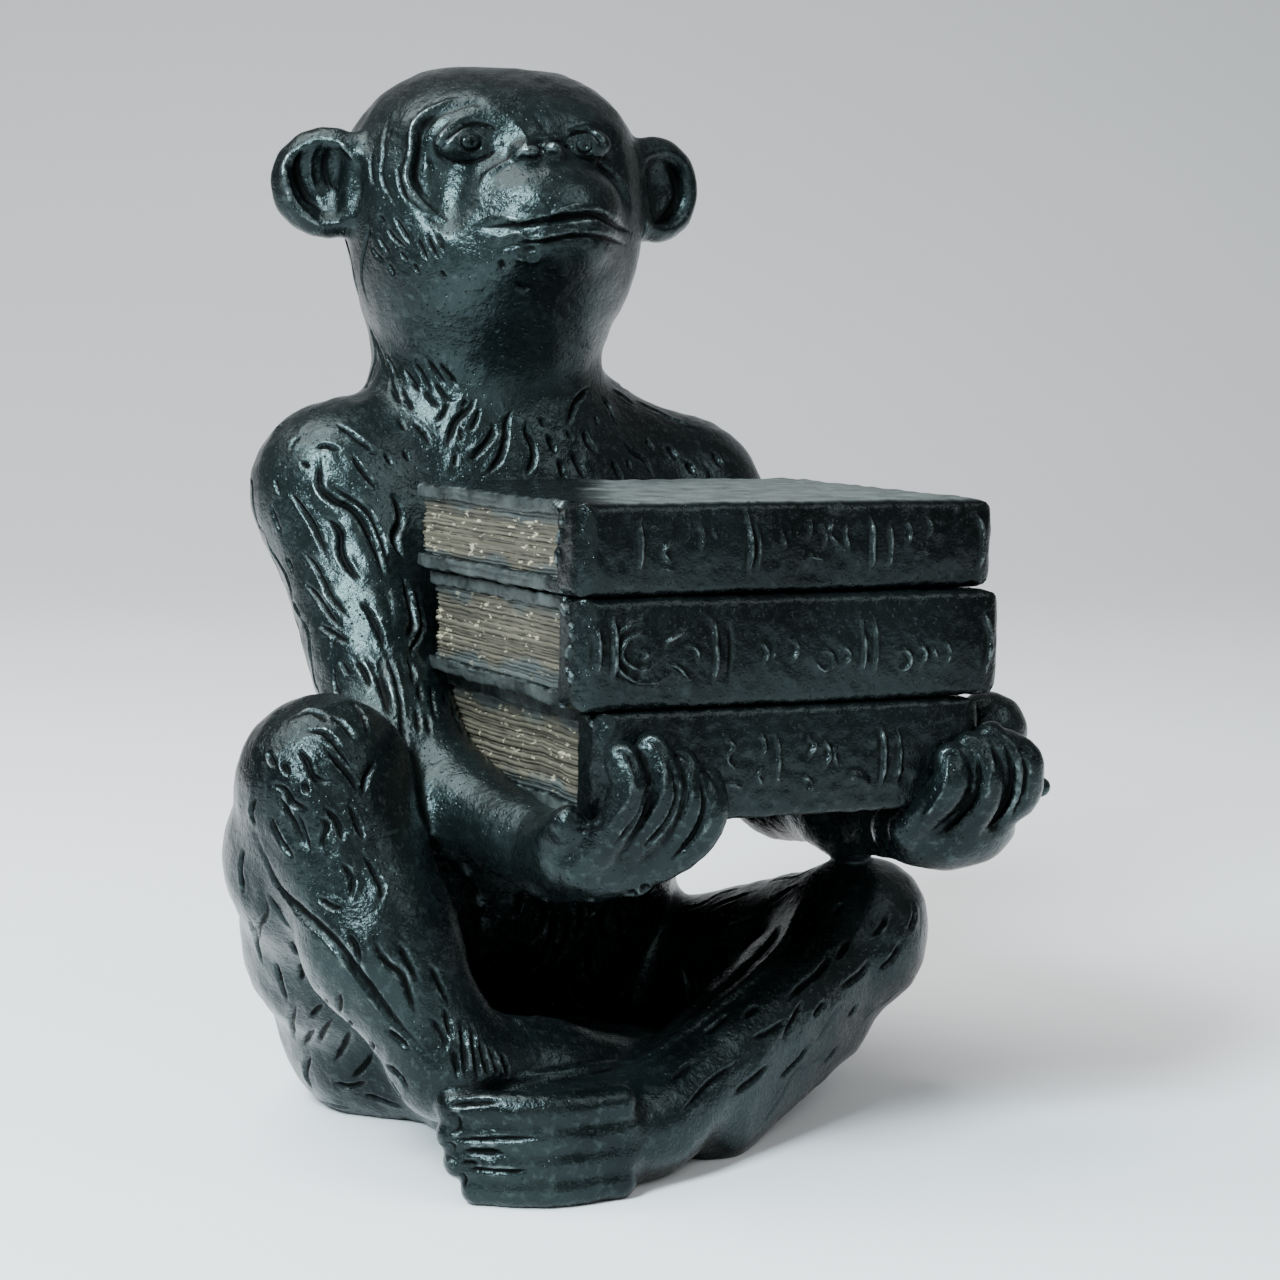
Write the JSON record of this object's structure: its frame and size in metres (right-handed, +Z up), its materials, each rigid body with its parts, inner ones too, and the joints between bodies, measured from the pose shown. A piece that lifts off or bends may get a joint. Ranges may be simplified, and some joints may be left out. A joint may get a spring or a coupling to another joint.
{
  "type": "seated monkey figurine",
  "caption": "Seated monkey cast in dark metal, legs crossed, carrying a stack of closed books on its hands; stands on its flat underside.",
  "frame": {"origin": "on the flat underside, under the seat", "axes": "+Z up, the monkey faces -Y and its left side is at +X"},
  "size_m": [0.1731, 0.1833, 0.2428],
  "materials": {
    "cast_metal": "dark patina, satin, worn on the ridges, dusty in the hollows"
  },
  "bodies": {
    "root": {"monkey_figurine": "cast_metal"}
  },
  "joints": []
}
